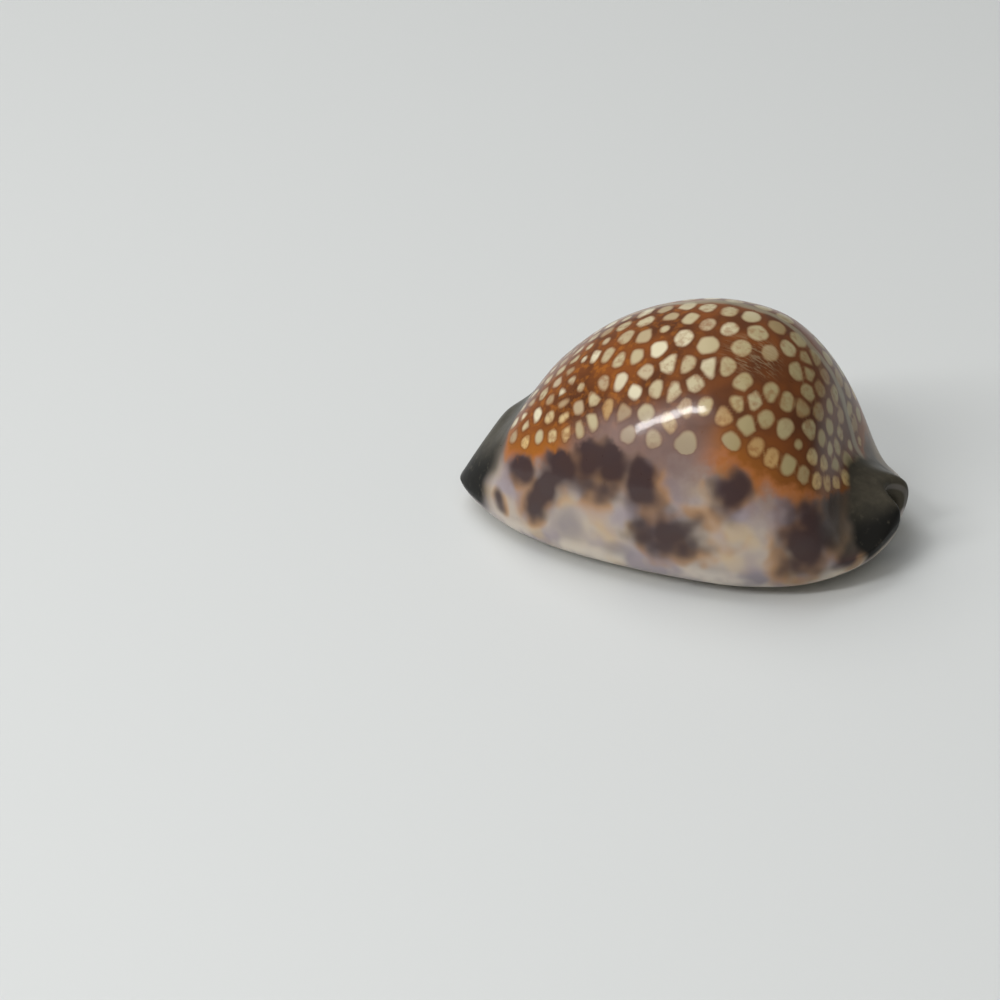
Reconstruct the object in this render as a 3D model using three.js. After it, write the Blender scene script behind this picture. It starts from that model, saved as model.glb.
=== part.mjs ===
// A cowrie shell: an egg-shaped dome over a flat base, split from end to end by a toothed slit.
//
// Frame, in millimetres: +X runs along the shell to its posterior end, +Y points to the outer lip,
// +Z up from the flat it rests on. The columella side is at -Y. The origin is at the bottom centre.
//
// The shell is one thick wall, rolled up like the letter C: the two ends of the C are the lips,
// and the slit between them opens into the hollow inside. A row of cross-sections follows guide
// curves from the anterior end to the posterior end. At both ends the roll stays open as a canal.
import * as THREE from "three";

// ---- driving dimensions -------------------------------------------------------------------
const HOLLOW_SCALE = 0.945; // size of the hollow under the dome, as a share of the dome
const HOLLOW_CENTRE = new THREE.Vector3(0.5, 0.6, 9); // the point that it shrinks towards
const MARGIN_WALL = 3.9; // the thick rim round the base
const MARGIN_LIFT = 1.5; // the hollow is widest this far above the rim
const LIP_HEIGHT = 3.9; // from the base to the hollow's floor, at the slit
const LIP_FLARE = 1.0; // how much wider the slit is on each side at the hollow's floor
const LIP_ROUNDING = 1.3; // rise of the base's edge towards the slit
const LIP_REACH = 3.0; // and the width over which it rises
const BASE_FLAT = 0.4; // depth worn flat off the underside
const END_RISE = 1.7; // rise of the base towards both ends
const CANAL_HALF = 2.1; // half width of the canal at each end
const CANAL_FLOOR = 3.0; // from the base to the canal's floor, at the slit
const CANAL_TOP = { anterior: 7.0, posterior: 8.6 }; // height of the canal's roof
const CANAL_SHARE = 0.12; // share of the slit over which the hollow narrows to the canal
const RIM_INSET = 0.6; // how far the canal's end stands back from the rim
const RIM_BULGE = 0.25; // rounding of the canal's rim

const TEETH = 26; // on each lip
const STEPS_PER_TOOTH = 3;
const TOOTH_OUT = 0.65; // how far a tooth stands into the slit
const TOOTH_DOWN = 0.6; // and out of the base's edge
const TOOTHED = [0.045, 0.965]; // where the teeth start and stop, as a share of the slit
const END_STEPS = [4, 4]; // cross-sections beyond the teeth, at each end

// Guide curves, each from the anterior to the posterior end. The crest is [x, z]; the two
// margins are [x, y, z], the widest line of the shell; the slit is [x, y, half width].
const CREST = [
  [-27.4, 9.2], [-25.6, 11.8], [-22.2, 14.6], [-17.6, 20.9], [-10.6, 27.1], [-2.2, 31.2],
  [6.4, 32.7], [14.4, 30.8], [20.7, 24.4], [24.4, 13.6], [29.8, 10.6],
];
const NEAR_MARGIN = [
  [-30.6, -5.0, 3.7], [-29.8, -7.7, 4.0], [-26.6, -11.0, 4.4], [-20.0, -15.3, 5.0],
  [-11.8, -18.3, 5.4], [-2.8, -19.9, 5.7], [6.2, -20.4, 5.8], [15.3, -19.7, 5.7],
  [24.0, -16.4, 5.3], [30.1, -10.2, 5.5], [32.7, -3.6, 7.2],
];
const FAR_MARGIN = [
  [-28.9, 3.5, 4.4], [-27.8, 6.2, 4.8], [-24.7, 9.9, 5.1], [-19.0, 14.3, 5.6],
  [-11.5, 18.0, 6.1], [-2.8, 19.9, 6.4], [6.0, 20.3, 6.5], [14.6, 19.2, 6.3],
  [22.8, 15.4, 5.8], [29.2, 9.4, 6.4], [31.9, 4.2, 6.7],
];
const SLIT = [
  [-29.2, 0.2, 1.6], [-27.6, 0.3, 1.9], [-24.0, 0.6, 2.0], [-18.6, 1.0, 1.9],
  [-11.0, 1.4, 1.7], [-2.6, 1.7, 1.5], [6.0, 1.8, 1.4], [14.4, 1.4, 1.35],
  [21.8, 0.5, 1.35], [27.2, -0.2, 1.4], [30.0, -0.3, 1.5],
];

// Angles at which half a cross-section is drawn, in degrees: from the lip's edge at -90 to the
// margin at 0 and on to the crest at 90. Outside they crowd together at the lip, for the teeth.
const OUTSIDE_ANGLES = { lower: [-90, -88.6, -83, -71, -52, -27], upper: [0, 14, 28, 43, 58, 74, 90] };
const INSIDE_ANGLES = { lower: [-90, -75, -60, -45, -30, -15], upper: [0, 14, 28, 43, 58, 74, 90] };
const BASE_POWER = 0.62; // under 1 squares the corner between the margin and the base

// How pinched the side above the margin is, along the shell: 1 is an ellipse, and more is hollower.
const PINCH = [1.3, 1.2, 1.05, 1, 1, 1, 1, 1, 1.12, 1.5, 0.8];

// ---- guide curves -------------------------------------------------------------------------
const curve = (points) => new THREE.CatmullRomCurve3(points, false, "catmullrom", 0.5);
const vector = ([x, y, z]) => new THREE.Vector3(x, y, z);
const crestCurve = curve(CREST.map(([x, z]) => new THREE.Vector3(x, 0, z)));
const slitCurve = curve(SLIT.map(vector));
const pinchCurve = curve(PINCH.map((pinch) => new THREE.Vector3(pinch, 0, 0)));
const SIDES = [
  { way: -1, marginCurve: curve(NEAR_MARGIN.map(vector)) },
  { way: 1, marginCurve: curve(FAR_MARGIN.map(vector)) },
];

// 0 at both ends of the slit and 1 where the hollow has its full width.
function fullness(share) {
  return THREE.MathUtils.smoothstep(Math.min(share, 1 - share), 0, CANAL_SHARE);
}

// 1 on a tooth's ridge and 0 between teeth.
function tooth(share) {
  const [start, stop] = TOOTHED;
  if (share < start || share > stop) return 0;
  return 0.5 - 0.5 * Math.cos((2 * Math.PI * TEETH * (share - start)) / (stop - start));
}

// ---- one cross-section --------------------------------------------------------------------
// One point of a rounded quarter that runs from the margin to its end at the lip or the crest.
// Sweep says how late the quarter leaves the margin's place along the shell for its end's.
function quarterPoint(margin, end, degrees, power, sweep) {
  const angle = THREE.MathUtils.degToRad(Math.abs(degrees));
  const across = Math.max(Math.cos(angle), 0) ** power;
  const up = Math.sin(angle) ** power;
  return new THREE.Vector3(
    THREE.MathUtils.lerp(margin.x, end.x, Math.sin(angle) ** sweep),
    THREE.MathUtils.lerp(end.y, margin.y, across),
    THREE.MathUtils.lerp(margin.z, end.z, up),
  );
}

// Half of a cross-section, from the lip's edge round the margin to the crest.
function halfSection(angles, { lip, margin, crest }, basePower, pinch) {
  return [
    ...angles.lower.map((degrees) => quarterPoint(margin, lip, degrees, basePower, 2)),
    ...angles.upper.map((degrees) => quarterPoint(margin, crest, degrees, pinch, 2 / pinch ** 2)),
  ];
}

// Wears the underside flat, rounds its edge up into the slit, and raises the teeth on that edge.
function shapeBase(point, lip, ridge) {
  const rise = END_RISE * (Math.abs(point.x) / 30) ** 4 - BASE_FLAT;
  const edge = Math.max(0, 1 - Math.abs(point.y - lip.y) / LIP_REACH) ** 2;
  point.z = Math.max(0, point.z + rise) + edge * (LIP_ROUNDING - TOOTH_DOWN * ridge);
}

function outsideHalf(share, { way, marginCurve }) {
  const along = slitCurve.getUtoTmapping(share);
  const slit = slitCurve.getPoint(along);
  const ridge = tooth(share);
  const lip = new THREE.Vector3(slit.x, slit.y + way * (slit.z - TOOTH_OUT * ridge), 0);
  const [margin, crest] = [marginCurve.getPoint(along), crestCurve.getPoint(along)];
  const pinch = pinchCurve.getPoint(along).x;
  const points = halfSection(OUTSIDE_ANGLES, { lip, margin, crest }, BASE_POWER, pinch);
  for (const point of points.slice(0, OUTSIDE_ANGLES.lower.length)) shapeBase(point, lip, ridge);
  return points;
}

// The three corners of half the inside where it is a canal: a level tunnel set back from the end.
function canalCorners(share, way, slit, outer, crest) {
  const [back, top] = share < 0.5 ? [RIM_INSET, CANAL_TOP.anterior] : [-RIM_INSET, CANAL_TOP.posterior];
  return {
    lip: new THREE.Vector3(slit.x + back, slit.y + way * slit.z, CANAL_FLOOR),
    margin: new THREE.Vector3(outer.x + back, slit.y + way * CANAL_HALF, outer.z),
    crest: new THREE.Vector3(crest.x + back, slit.y, top),
  };
}

// The three corners of half the inside where it is the full hollow.
function hollowCorners(way, slit, outer, crest) {
  const [side, roof] = [outer, crest].map((point) =>
    point.clone().sub(HOLLOW_CENTRE).multiplyScalar(HOLLOW_SCALE).add(HOLLOW_CENTRE),
  );
  return {
    lip: new THREE.Vector3(slit.x, slit.y + way * (slit.z + LIP_FLARE), LIP_HEIGHT),
    margin: new THREE.Vector3(side.x, outer.y - way * MARGIN_WALL, outer.z + MARGIN_LIFT),
    crest: roof,
  };
}

function insideHalf(share, { way, marginCurve }) {
  const along = slitCurve.getUtoTmapping(share);
  const [slit, outer] = [slitCurve.getPoint(along), marginCurve.getPoint(along)];
  const crest = crestCurve.getPoint(along);
  const corners = canalCorners(share, way, slit, outer, crest);
  const full = hollowCorners(way, slit, outer, crest);
  for (const name of Object.keys(corners)) corners[name].lerp(full[name], fullness(share));
  return halfSection(INSIDE_ANGLES, corners, 1, pinchCurve.getPoint(along).x);
}

// The wall of a lip in the slit, halfway up: the teeth run on over it.
function lipPoint(share, way, below, above) {
  const point = below.clone().lerp(above, 0.5);
  point.y -= way * (LIP_FLARE / 2) * fullness(share);
  return point;
}

// A closed loop: the outside from lip to lip, up the outer lip, the hollow back, and down.
function loopAt(share) {
  const [outside, inside] = [outsideHalf, insideHalf].map((half) => {
    const [near, far] = SIDES.map((side) => half(share, side));
    return [...near, ...far.slice(0, -1).reverse()];
  });
  inside.reverse();
  const farLip = lipPoint(share, 1, outside.at(-1), inside[0]);
  const nearLip = lipPoint(share, -1, outside[0], inside.at(-1));
  return [...outside, farLip, ...inside, nearLip];
}

// ---- the whole wall -----------------------------------------------------------------------
// Shares of the slit's length at which cross-sections stand, a fixed number of them to each tooth.
function stations() {
  const [start, stop] = TOOTHED;
  const spread = (from, to, steps) =>
    Array.from({ length: steps }, (_, i) => THREE.MathUtils.lerp(from, to, i / steps));
  return [
    ...spread(0, start, END_STEPS[0]),
    ...spread(start, stop, TEETH * STEPS_PER_TOOTH),
    ...spread(stop, 1, END_STEPS[1]),
    1,
  ];
}

// The rounded rim of a canal: the points halfway through the wall, raised off its cut edge.
function rimPoints(loop, way) {
  const half = (loop.length - 2) / 2;
  const inner = (i) => loop[2 * half - i];
  const middle = (i) => loop[i].clone().lerp(inner(i), 0.5);
  return loop.slice(0, half).map((outer, i) => {
    const tangent = middle(Math.min(i + 1, half - 1)).sub(middle(Math.max(i - 1, 0)));
    const raised = tangent.cross(outer.clone().sub(inner(i))).setLength(way * RIM_BULGE);
    return middle(i).add(raised);
  });
}

// Faces from a loop's outside to the rim's ridge and on to the hollow.
function rimFaces(first, size, ridge, way) {
  const half = (size - 2) / 2;
  const faces = [];
  const add = (a, b, c) => faces.push(...(way > 0 ? [a, b, c] : [a, c, b]));
  for (let i = 0; i < half - 1; i++) {
    const inner = first + 2 * half - i;
    add(first + i, ridge + i, first + i + 1);
    add(first + i + 1, ridge + i, ridge + i + 1);
    add(ridge + i, inner, ridge + i + 1);
    add(ridge + i + 1, inner, inner - 1);
  }
  const [nearLip, farLip, last] = [first + size - 1, first + half, half - 1];
  add(first, nearLip, ridge);
  add(ridge, nearLip, nearLip - 1);
  add(first + last, ridge + last, farLip);
  add(ridge + last, farLip + 1, farLip);
  return faces;
}

function wallFaces(rows, size) {
  const faces = [];
  for (let row = 0; row < rows - 1; row++) {
    for (let i = 0; i < size; i++) {
      const [a, b] = [row * size + i, row * size + ((i + 1) % size)];
      faces.push(a, a + size, b, b, a + size, b + size);
    }
  }
  return faces;
}

function shellGeometry() {
  const loops = stations().map(loopAt);
  const [size, rows] = [loops[0].length, loops.length];
  const rims = [rimPoints(loops[0], -1), rimPoints(loops[rows - 1], 1)];
  const geometry = new THREE.BufferGeometry().setFromPoints([...loops, ...rims].flat());
  geometry.setIndex([
    ...wallFaces(rows, size),
    ...rimFaces(0, size, rows * size, -1),
    ...rimFaces((rows - 1) * size, size, rows * size + rims[0].length, 1),
  ]);
  geometry.computeBoundingBox();
  const { min, max } = geometry.boundingBox;
  geometry.translate(-(min.x + max.x) / 2, -(min.y + max.y) / 2, -min.z);
  geometry.computeVertexNormals();
  return geometry;
}

const porcelain = new THREE.MeshStandardMaterial({
  color: new THREE.Color(0.42, 0.29, 0.2),
  roughness: 0.15,
  metalness: 0,
});

const shell = new THREE.Mesh(shellGeometry(), porcelain);
shell.name = "shell";

const cowrie = new THREE.Group();
cowrie.add(shell);
export default cowrie;
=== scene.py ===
# A cowrie shell: a glossy spotted dome over a pale base, split from end to end by a toothed slit.
#
# The shell is one thick wall rolled up like the letter C. It is modelled from one sheet, whose rows
# are laid on the cross-sections of the shell from the anterior end (-X) to the posterior end (+X).
# The outer lip is at +Y and the columella side at -Y.
import math
from types import SimpleNamespace

import bmesh
import bpy
import numpy as np
from bpy.props import FloatProperty, FloatVectorProperty, IntProperty, PointerProperty
from mathutils import Matrix, Vector


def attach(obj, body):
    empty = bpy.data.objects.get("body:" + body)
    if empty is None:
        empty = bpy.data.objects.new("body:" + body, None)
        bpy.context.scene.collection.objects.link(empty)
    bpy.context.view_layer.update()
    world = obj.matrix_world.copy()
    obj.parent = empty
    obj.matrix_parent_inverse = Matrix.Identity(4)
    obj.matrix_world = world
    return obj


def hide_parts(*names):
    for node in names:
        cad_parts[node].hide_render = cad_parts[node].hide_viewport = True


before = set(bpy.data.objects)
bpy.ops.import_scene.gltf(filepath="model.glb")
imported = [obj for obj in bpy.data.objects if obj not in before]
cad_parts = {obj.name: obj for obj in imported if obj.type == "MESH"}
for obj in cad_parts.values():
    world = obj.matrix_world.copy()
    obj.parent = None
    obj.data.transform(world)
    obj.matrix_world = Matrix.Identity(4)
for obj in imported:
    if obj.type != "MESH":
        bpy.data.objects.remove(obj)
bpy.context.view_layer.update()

bl_info = {
    "name": "Cowrie Shell",
    "version": (1, 0, 0),
    "blender": (4, 5, 0),
    "location": "3D View > Sidebar > Cowrie",
    "description": "Models a spotted cowrie shell and a plain stage for it",
    "category": "Add Mesh",
}

MM = 0.001

# ---- the shell's form, in millimetres ------------------------------------------------------
# Guide curves, each from the anterior to the posterior end. The crest and the margins, which are
# the widest line of the shell, are (x, y, z). The slit is (x, y, half width).
CREST = (
    (-27.4, 0, 9.2), (-25.6, 0, 11.8), (-22.2, 0, 14.6), (-17.6, 0, 20.9), (-10.6, 0, 27.1),
    (-2.2, 0, 31.2), (6.4, 0, 32.7), (14.4, 0, 30.8), (20.7, 0, 24.4), (24.4, 0, 13.6),
    (29.8, 0, 10.6),
)
NEAR_MARGIN = (
    (-30.6, -5.0, 3.7), (-29.8, -7.7, 4.0), (-26.6, -11.0, 4.4), (-20.0, -15.3, 5.0),
    (-11.8, -18.3, 5.4), (-2.8, -19.9, 5.7), (6.2, -20.4, 5.8), (15.3, -19.7, 5.7),
    (24.0, -16.4, 5.3), (30.1, -10.2, 5.5), (32.7, -3.6, 7.2),
)
FAR_MARGIN = (
    (-28.9, 3.5, 4.4), (-27.8, 6.2, 4.8), (-24.7, 9.9, 5.1), (-19.0, 14.3, 5.6),
    (-11.5, 18.0, 6.1), (-2.8, 19.9, 6.4), (6.0, 20.3, 6.5), (14.6, 19.2, 6.3),
    (22.8, 15.4, 5.8), (29.2, 9.4, 6.4), (31.9, 4.2, 6.7),
)
SLIT = (
    (-29.2, 0.2, 1.6), (-27.6, 0.3, 1.9), (-24.0, 0.6, 2.0), (-18.6, 1.0, 1.9),
    (-11.0, 1.4, 1.7), (-2.6, 1.7, 1.5), (6.0, 1.8, 1.4), (14.4, 1.4, 1.35),
    (21.8, 0.5, 1.35), (27.2, -0.2, 1.4), (30.0, -0.3, 1.5),
)

# Degrees round half a cross-section: the lip's edge is at -90, the margin at 0, the crest at 90.
OUTSIDE_LOWER = (-90, -89.93, -89.8, -89.5, -89, -88.2, -87, -85, -81, -74, -63, -48, -30, -14)
INSIDE_LOWER = tuple(90 * step / len(OUTSIDE_LOWER) - 90 for step in range(len(OUTSIDE_LOWER)))
UPPER_STEPS = 54
UPPER = tuple(90 * step / UPPER_STEPS for step in range(UPPER_STEPS + 1))
HALF = len(OUTSIDE_LOWER) + len(UPPER)
ARC = 2 * HALF - 1
COLUMNS = 2 * ARC + 2
FAR_LIP, NEAR_LIP = ARC, COLUMNS - 1

BASE_POWER = 0.62
# How pinched the section is over the margin, along the shell: 1 is an ellipse, and more is hollower.
PINCH = (
    (1.3,), (1.2,), (1.05,), (1.0,), (1.0,), (1.0,), (1.0,), (1.0,), (1.12,), (1.5,), (0.8,),
)
HOLLOW_CENTRE = (0.5, 0.6, 9.0)
MARGIN_WALL, MARGIN_LIFT = 3.9, 1.5
LIP_HEIGHT, LIP_FLARE = 3.9, 1.0
LIP_ROUNDING, LIP_REACH = 1.3, 3.0
BASE_FLAT, END_RISE, END_RISE_AT = 0.4, 1.7, 30.0
CANAL_HALF, CANAL_FLOOR, CANAL_SHARE = 2.1, 3.0, 0.12
CANAL_TOP = (7.0, 8.6)
RIM_INSET, RIM_BULGE = 0.6, 0.3
TOOTHED = (0.045, 0.965)
ROWS_PER_TOOTH, END_ROWS = 3, 4
# How much of a tooth each column from the lip's edge outwards gets, then the lip's middle and inside.
TOOTH_TAPER = (1.0, 1.0, 1.0, 0.9, 0.62, 0.3, 0.1)
TOOTH_ON_LIP, TOOTH_INSIDE = 0.9, 0.4


def guide(points):
    """A function that gives the point at a share (0 to 1) along the smooth curve through points."""
    p = np.array(points, float)
    p = np.vstack([2 * p[0] - p[1], p, 2 * p[-1] - p[-2]])

    def at(share):
        place = np.clip(share, 0, 1) * (len(points) - 1)
        i = np.minimum(place.astype(int), len(points) - 2)
        f = (place - i)[:, None]
        a, b, c, d = p[i], p[i + 1], p[i + 2], p[i + 3]
        bend = 2 * a - 5 * b + 4 * c - d
        return 0.5 * (2 * b + (c - a) * f + bend * f**2 + (3 * b - a - 3 * c + d) * f**3)

    return at


def even_shares(curve, shares, steps=400):
    """Turns shares of a curve's length into its own shares."""
    ticks = np.linspace(0, 1, steps + 1)
    length = np.linalg.norm(np.diff(curve(ticks), axis=0), axis=1).cumsum()
    return np.interp(shares, np.append(0, length) / length[-1], ticks)


def smooth(x):
    """A smooth step from 0 to 1."""
    x = np.clip(x, 0, 1)
    return x * x * (3 - 2 * x)


def mix(a, b, share):
    return a + (b - a) * share


def row_shares(teeth):
    """Shares of the slit's length at which a row stands: the same number of rows to each tooth."""
    start, stop = TOOTHED
    return np.concatenate([
        np.linspace(0, start, END_ROWS + 1)[:-1],
        np.linspace(start, stop, teeth * ROWS_PER_TOOTH + 1)[:-1],
        np.linspace(stop, 1, END_ROWS + 1),
    ])


def rounded(margin, end, degrees, power, sweep):
    """Points from the margin round to the lip or the crest, for each row and angle."""
    angle = np.radians(np.abs(degrees))[None, :]
    m, e = margin[:, None, :], end[:, None, :]
    return np.stack([
        mix(m[..., 0], e[..., 0], np.sin(angle) ** sweep),
        mix(e[..., 1], m[..., 1], np.cos(angle).clip(0) ** power),
        mix(m[..., 2], e[..., 2], np.sin(angle) ** power),
    ], axis=-1)


def half_section(lower, lip, margin, crest, base_power, pinch):
    return np.concatenate([
        rounded(margin, lip, lower, base_power, 2),
        rounded(margin, crest, UPPER, pinch, 2 / pinch**2),
    ], axis=1)


def outside_half(way, slit, margin, crest, pinch):
    """One side of the outside: the base from the slit to the margin, and the dome to the crest."""
    lip = np.stack([slit[:, 0], slit[:, 1] + way * slit[:, 2], 0 * slit[:, 0]], axis=-1)
    points = half_section(OUTSIDE_LOWER, lip, margin, crest, BASE_POWER, pinch)
    base = points[:, :len(OUTSIDE_LOWER)]
    rise = END_RISE * (np.abs(base[..., 0]) / END_RISE_AT) ** 4 - BASE_FLAT
    edge = np.clip(1 - np.abs(base[..., 1] - lip[:, None, 1]) / LIP_REACH, 0, 1) ** 2
    base[..., 2] = np.clip(base[..., 2] + rise, 0, None) + edge * LIP_ROUNDING
    return points


def inside_half(way, shares, slit, margin, crest, pinch, hollow):
    """One side of the inside: a level canal at each end that widens to the full hollow."""
    anterior = shares < 0.5
    back = np.where(anterior, RIM_INSET, -RIM_INSET)
    side = slit[:, 1] + way * slit[:, 2]
    centre = np.array(HOLLOW_CENTRE)
    wide, roof = [(p - centre) * hollow + centre for p in (margin, crest)]

    def corner(*axes):
        return np.stack([axis + 0 * back for axis in axes], axis=-1)

    canal = (
        corner(slit[:, 0] + back, side, CANAL_FLOOR),
        corner(margin[:, 0] + back, slit[:, 1] + way * CANAL_HALF, margin[:, 2]),
        corner(crest[:, 0] + back, slit[:, 1], np.where(anterior, *CANAL_TOP)),
    )
    full = (
        corner(slit[:, 0], side + way * LIP_FLARE, LIP_HEIGHT),
        corner(wide[:, 0], margin[:, 1] - way * MARGIN_WALL, margin[:, 2] + MARGIN_LIFT),
        roof,
    )
    share = fullness(shares)[:, None]
    return half_section(INSIDE_LOWER, *(mix(c, f, share) for c, f in zip(canal, full)), 1, pinch)


def fullness(shares):
    """0 at both ends of the slit and 1 where the hollow has its full width."""
    return smooth(np.minimum(shares, 1 - shares) / CANAL_SHARE)


def join_halves(near, far):
    return np.concatenate([near, far[:, -2::-1]], axis=1)


def cross_sections(shares, hollow):
    """The place of every row and column of the rolled sheet, in millimetres."""
    slit_curve = guide(SLIT)
    along = even_shares(slit_curve, shares)
    slit, crest = slit_curve(along), guide(CREST)(along)
    pinch = guide(PINCH)(along)
    margins = ((-1, guide(NEAR_MARGIN)(along)), (1, guide(FAR_MARGIN)(along)))
    outside = join_halves(*(outside_half(w, slit, m, crest, pinch) for w, m in margins))
    inside = join_halves(*(inside_half(w, shares, slit, m, crest, pinch, hollow) for w, m in margins))
    inside = inside[:, ::-1]
    far_lip = mix(outside[:, -1], inside[:, 0], 0.5)
    near_lip = mix(inside[:, -1], outside[:, 0], 0.5)
    bulge = LIP_FLARE / 2 * fullness(shares)
    far_lip[:, 1] -= bulge
    near_lip[:, 1] += bulge
    return np.concatenate([outside, far_lip[:, None], inside, near_lip[:, None]], axis=1)


def angle_of_columns():
    """Each column's place round the section: -90 at the lip, 0 at the margin, 90 at the crest."""
    outer, inner = (np.array(low + UPPER, float) for low in (OUTSIDE_LOWER, INSIDE_LOWER))
    arcs = [np.concatenate([half, half[-2::-1]]) for half in (outer, inner)]
    return np.concatenate([arcs[0], [-90], arcs[1], [-90]])


# ---- modelling helpers ---------------------------------------------------------------------
def only(obj):
    """Makes obj the one selected and active object."""
    if bpy.context.object and bpy.context.object.mode != "OBJECT":
        bpy.ops.object.mode_set(mode="OBJECT")
    bpy.ops.object.select_all(action="DESELECT")
    obj.select_set(True)
    bpy.context.view_layer.objects.active = obj


def select_points(obj, chosen):
    """Opens obj for editing with only the chosen points selected, and what lies between them."""
    only(obj)
    bpy.ops.object.mode_set(mode="EDIT")
    bpy.ops.mesh.select_mode(type="VERT")
    bm = bmesh.from_edit_mesh(obj.data)
    for element in (*bm.faces, *bm.edges, *bm.verts):
        element.select = False
    for vertex, pick in zip(bm.verts, chosen):
        vertex.select = bool(pick)
    bm.select_flush(True)
    bmesh.update_edit_mesh(obj.data)


def read_points(obj):
    flat = np.empty(3 * len(obj.data.vertices))
    obj.data.vertices.foreach_get("co", flat)
    return flat.reshape(-1, 3)


def read_number(obj, name):
    values = np.empty(len(obj.data.vertices))
    obj.data.attributes[name].data.foreach_get("value", values)
    return values


def write_number(obj, name, values):
    """Stores a number for each point, which goes on through later modelling."""
    held = obj.data.attributes.get(name) or obj.data.attributes.new(name, "FLOAT", "POINT")
    held.data.foreach_set("value", np.asarray(values, np.float32))


def rolled_sheet(shape):
    """A flat grid whose rows are laid on the shell's cross-sections. Each point keeps numbers that say
    where it is: inside is 0 on the outside, 0.5 on a lip and 1 in the hollow."""
    shares = row_shares(shape.teeth)
    rows = len(shares)
    bpy.ops.object.select_all(action="DESELECT")
    bpy.ops.mesh.primitive_grid_add(x_subdivisions=rows - 1, y_subdivisions=COLUMNS, size=1)
    sheet = bpy.context.object
    sheet.name = sheet.data.name = "cowrie_shell"
    flat = read_points(sheet)
    row = np.rint((flat[:, 0] + 0.5) * (rows - 1)).astype(int)
    column = np.rint((flat[:, 1] + 0.5) * COLUMNS).astype(int)
    ring = column % COLUMNS
    places = cross_sections(shares, shape.hollow)[row, ring]
    sheet.data.vertices.foreach_set("co", (places * MM).ravel())
    write_number(sheet, "row", row)
    write_number(sheet, "column", column)
    write_number(sheet, "along", shares[row])
    write_number(sheet, "angle", angle_of_columns()[ring])
    on_lip = (ring == FAR_LIP) | (ring == NEAR_LIP)
    write_number(sheet, "inside", np.where(ring < ARC, 0, np.where(on_lip, 0.5, 1)))
    return sheet


def raise_teeth(sheet, shape):
    """Moves the rows of each tooth out into the slit and down from the base's edge."""
    row, column = read_number(sheet, "row"), read_number(sheet, "column")
    first, last = END_ROWS, END_ROWS + shape.teeth * ROWS_PER_TOOTH
    ridge = (row >= first) & (row <= last) & ((row - first) % ROWS_PER_TOOTH != 0)
    for way, edge, lip in ((-1, 0, NEAR_LIP), (1, ARC - 1, FAR_LIP)):
        for step, taper in enumerate(TOOTH_TAPER):
            at_edge = column == edge - way * step
            if way < 0 and step == 0:
                at_edge |= column == COLUMNS
            move_out(sheet, ridge & at_edge, way, taper, shape)
        move_out(sheet, ridge & (column == lip), way, TOOTH_ON_LIP, shape, down=0)
        move_out(sheet, ridge & (column == lip - way), way, TOOTH_INSIDE, shape, down=0)


def move_out(sheet, chosen, way, taper, shape, down=1):
    """Moves the chosen points into the slit, and down where down is 1."""
    select_points(sheet, chosen)
    offset = (0, -way * taper * shape.tooth_out, -down * taper * shape.tooth_down)
    bpy.ops.transform.translate(value=offset)
    bpy.ops.object.mode_set(mode="OBJECT")


def close_seam(sheet):
    """Joins the sheet's two long edges along the near lip."""
    select_points(sheet, np.ones(len(sheet.data.vertices)))
    bpy.ops.mesh.remove_doubles(threshold=1e-7)
    bpy.ops.object.mode_set(mode="OBJECT")


def close_canal(sheet, row_number, share):
    """Bridges the outside to the inside across one end, with a raised rim between them."""
    row, column = read_number(sheet, "row"), read_number(sheet, "column") % COLUMNS
    known = len(row)
    end = row == row_number
    select_points(sheet, end & (column != FAR_LIP) & (column != NEAR_LIP))
    bpy.ops.mesh.select_mode(type="EDGE")
    keep_end_edges(sheet)
    bpy.ops.mesh.bridge_edge_loops(number_cuts=1, interpolation="LINEAR")
    bpy.ops.object.mode_set(mode="OBJECT")
    added = np.arange(known, len(sheet.data.vertices))
    number_rim(sheet, added, np.flatnonzero(end & (column < ARC)), share)
    corner_faces(sheet, end, column, added)
    select_points(sheet, np.arange(len(sheet.data.vertices)) >= known)
    bpy.ops.transform.translate(value=(math.copysign(RIM_BULGE * MM, share - 0.5), 0, 0))
    bpy.ops.object.mode_set(mode="OBJECT")


def number_rim(sheet, added, outer, share):
    """Gives the points added for a rim their numbers. Their angle is the nearest outer point's."""
    points = read_points(sheet)
    nearest = outer[np.linalg.norm(points[added, None] - points[None, outer], axis=2).argmin(axis=1)]
    angle = read_number(sheet, "angle")[nearest]
    for name, value in (("row", -1), ("column", -1), ("along", share), ("inside", 0.5), ("angle", angle)):
        values = read_number(sheet, name)
        values[added] = value
        write_number(sheet, name, values)


def keep_end_edges(sheet):
    """Leaves only the open edges of the end selected."""
    bm = bmesh.from_edit_mesh(sheet.data)
    kept = [e for e in bm.edges if e.is_boundary and all(v.select for v in e.verts)]
    for element in (*bm.faces, *bm.edges, *bm.verts):
        element.select = False
    for edge in kept:
        edge.select = True
    bmesh.update_edit_mesh(sheet.data)


def corner_faces(sheet, end, column, added):
    """Fills the last corner at each lip, between the rim and the middle of the lip."""
    points = read_points(sheet)
    for lip, outer, inner in ((NEAR_LIP, 0, COLUMNS - 2), (FAR_LIP, ARC - 1, ARC + 1)):
        corners = [int(np.flatnonzero(end & (column == c))[0]) for c in (outer, lip, inner)]
        middle = points[[corners[0], corners[2]]].mean(axis=0)
        corners.append(int(added[np.linalg.norm(points[added] - middle, axis=1).argmin()]))
        chosen = np.zeros(len(points), bool)
        chosen[corners] = True
        select_points(sheet, chosen)
        bpy.ops.mesh.edge_face_add()
        bpy.ops.object.mode_set(mode="OBJECT")


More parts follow.
